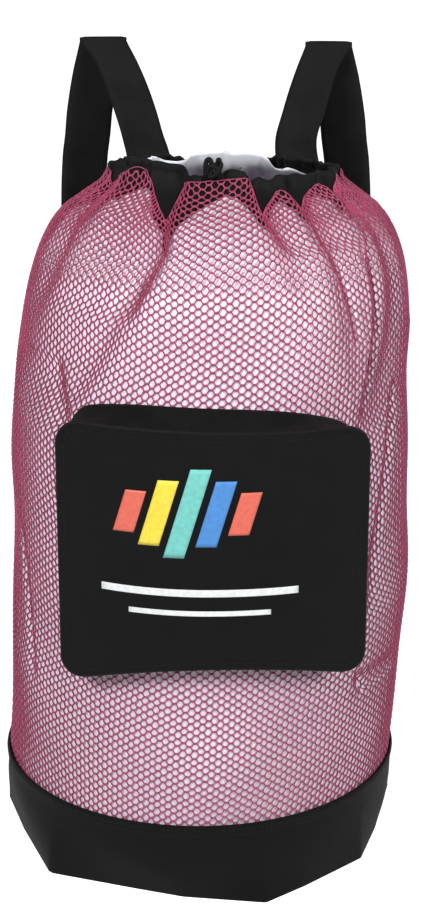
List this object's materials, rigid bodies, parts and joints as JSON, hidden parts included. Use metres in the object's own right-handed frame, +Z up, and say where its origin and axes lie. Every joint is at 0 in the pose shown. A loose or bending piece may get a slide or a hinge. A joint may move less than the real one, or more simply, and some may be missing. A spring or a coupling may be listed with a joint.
{
  "type": "mesh drawstring dive backpack with white liner",
  "caption": "Tall round net backpack with a gathered mouth, black collar and foot band, front pocket, two shoulder straps standing up and a rolled white liner inside.",
  "frame": {"origin": "middle of the base panel's underside, on the floor", "axes": "+Z up along the bag, -Y out through the pocket, +X to the right of someone facing the pocket"},
  "size_m": [0.4188, 0.4363, 0.797],
  "materials": {
    "crimson_net": "knitted hexagonal net",
    "black_fabric": "plain woven, slightly shiny",
    "black_webbing": "folded woven strap",
    "black_cord": "braided cord",
    "white_sheet": "thin white foam sheet"
  },
  "bodies": {
    "root": {"net_wall": "crimson_net", "collar": "black_fabric", "base_band": "black_fabric", "base_panel": "black_fabric", "inner_liner": "white_sheet", "pocket_front": "black_fabric", "pocket_gusset": "black_fabric", "strap_left": "black_webbing", "strap_right": "black_webbing", "drawcord_knot": "black_cord"}
  },
  "joints": []
}
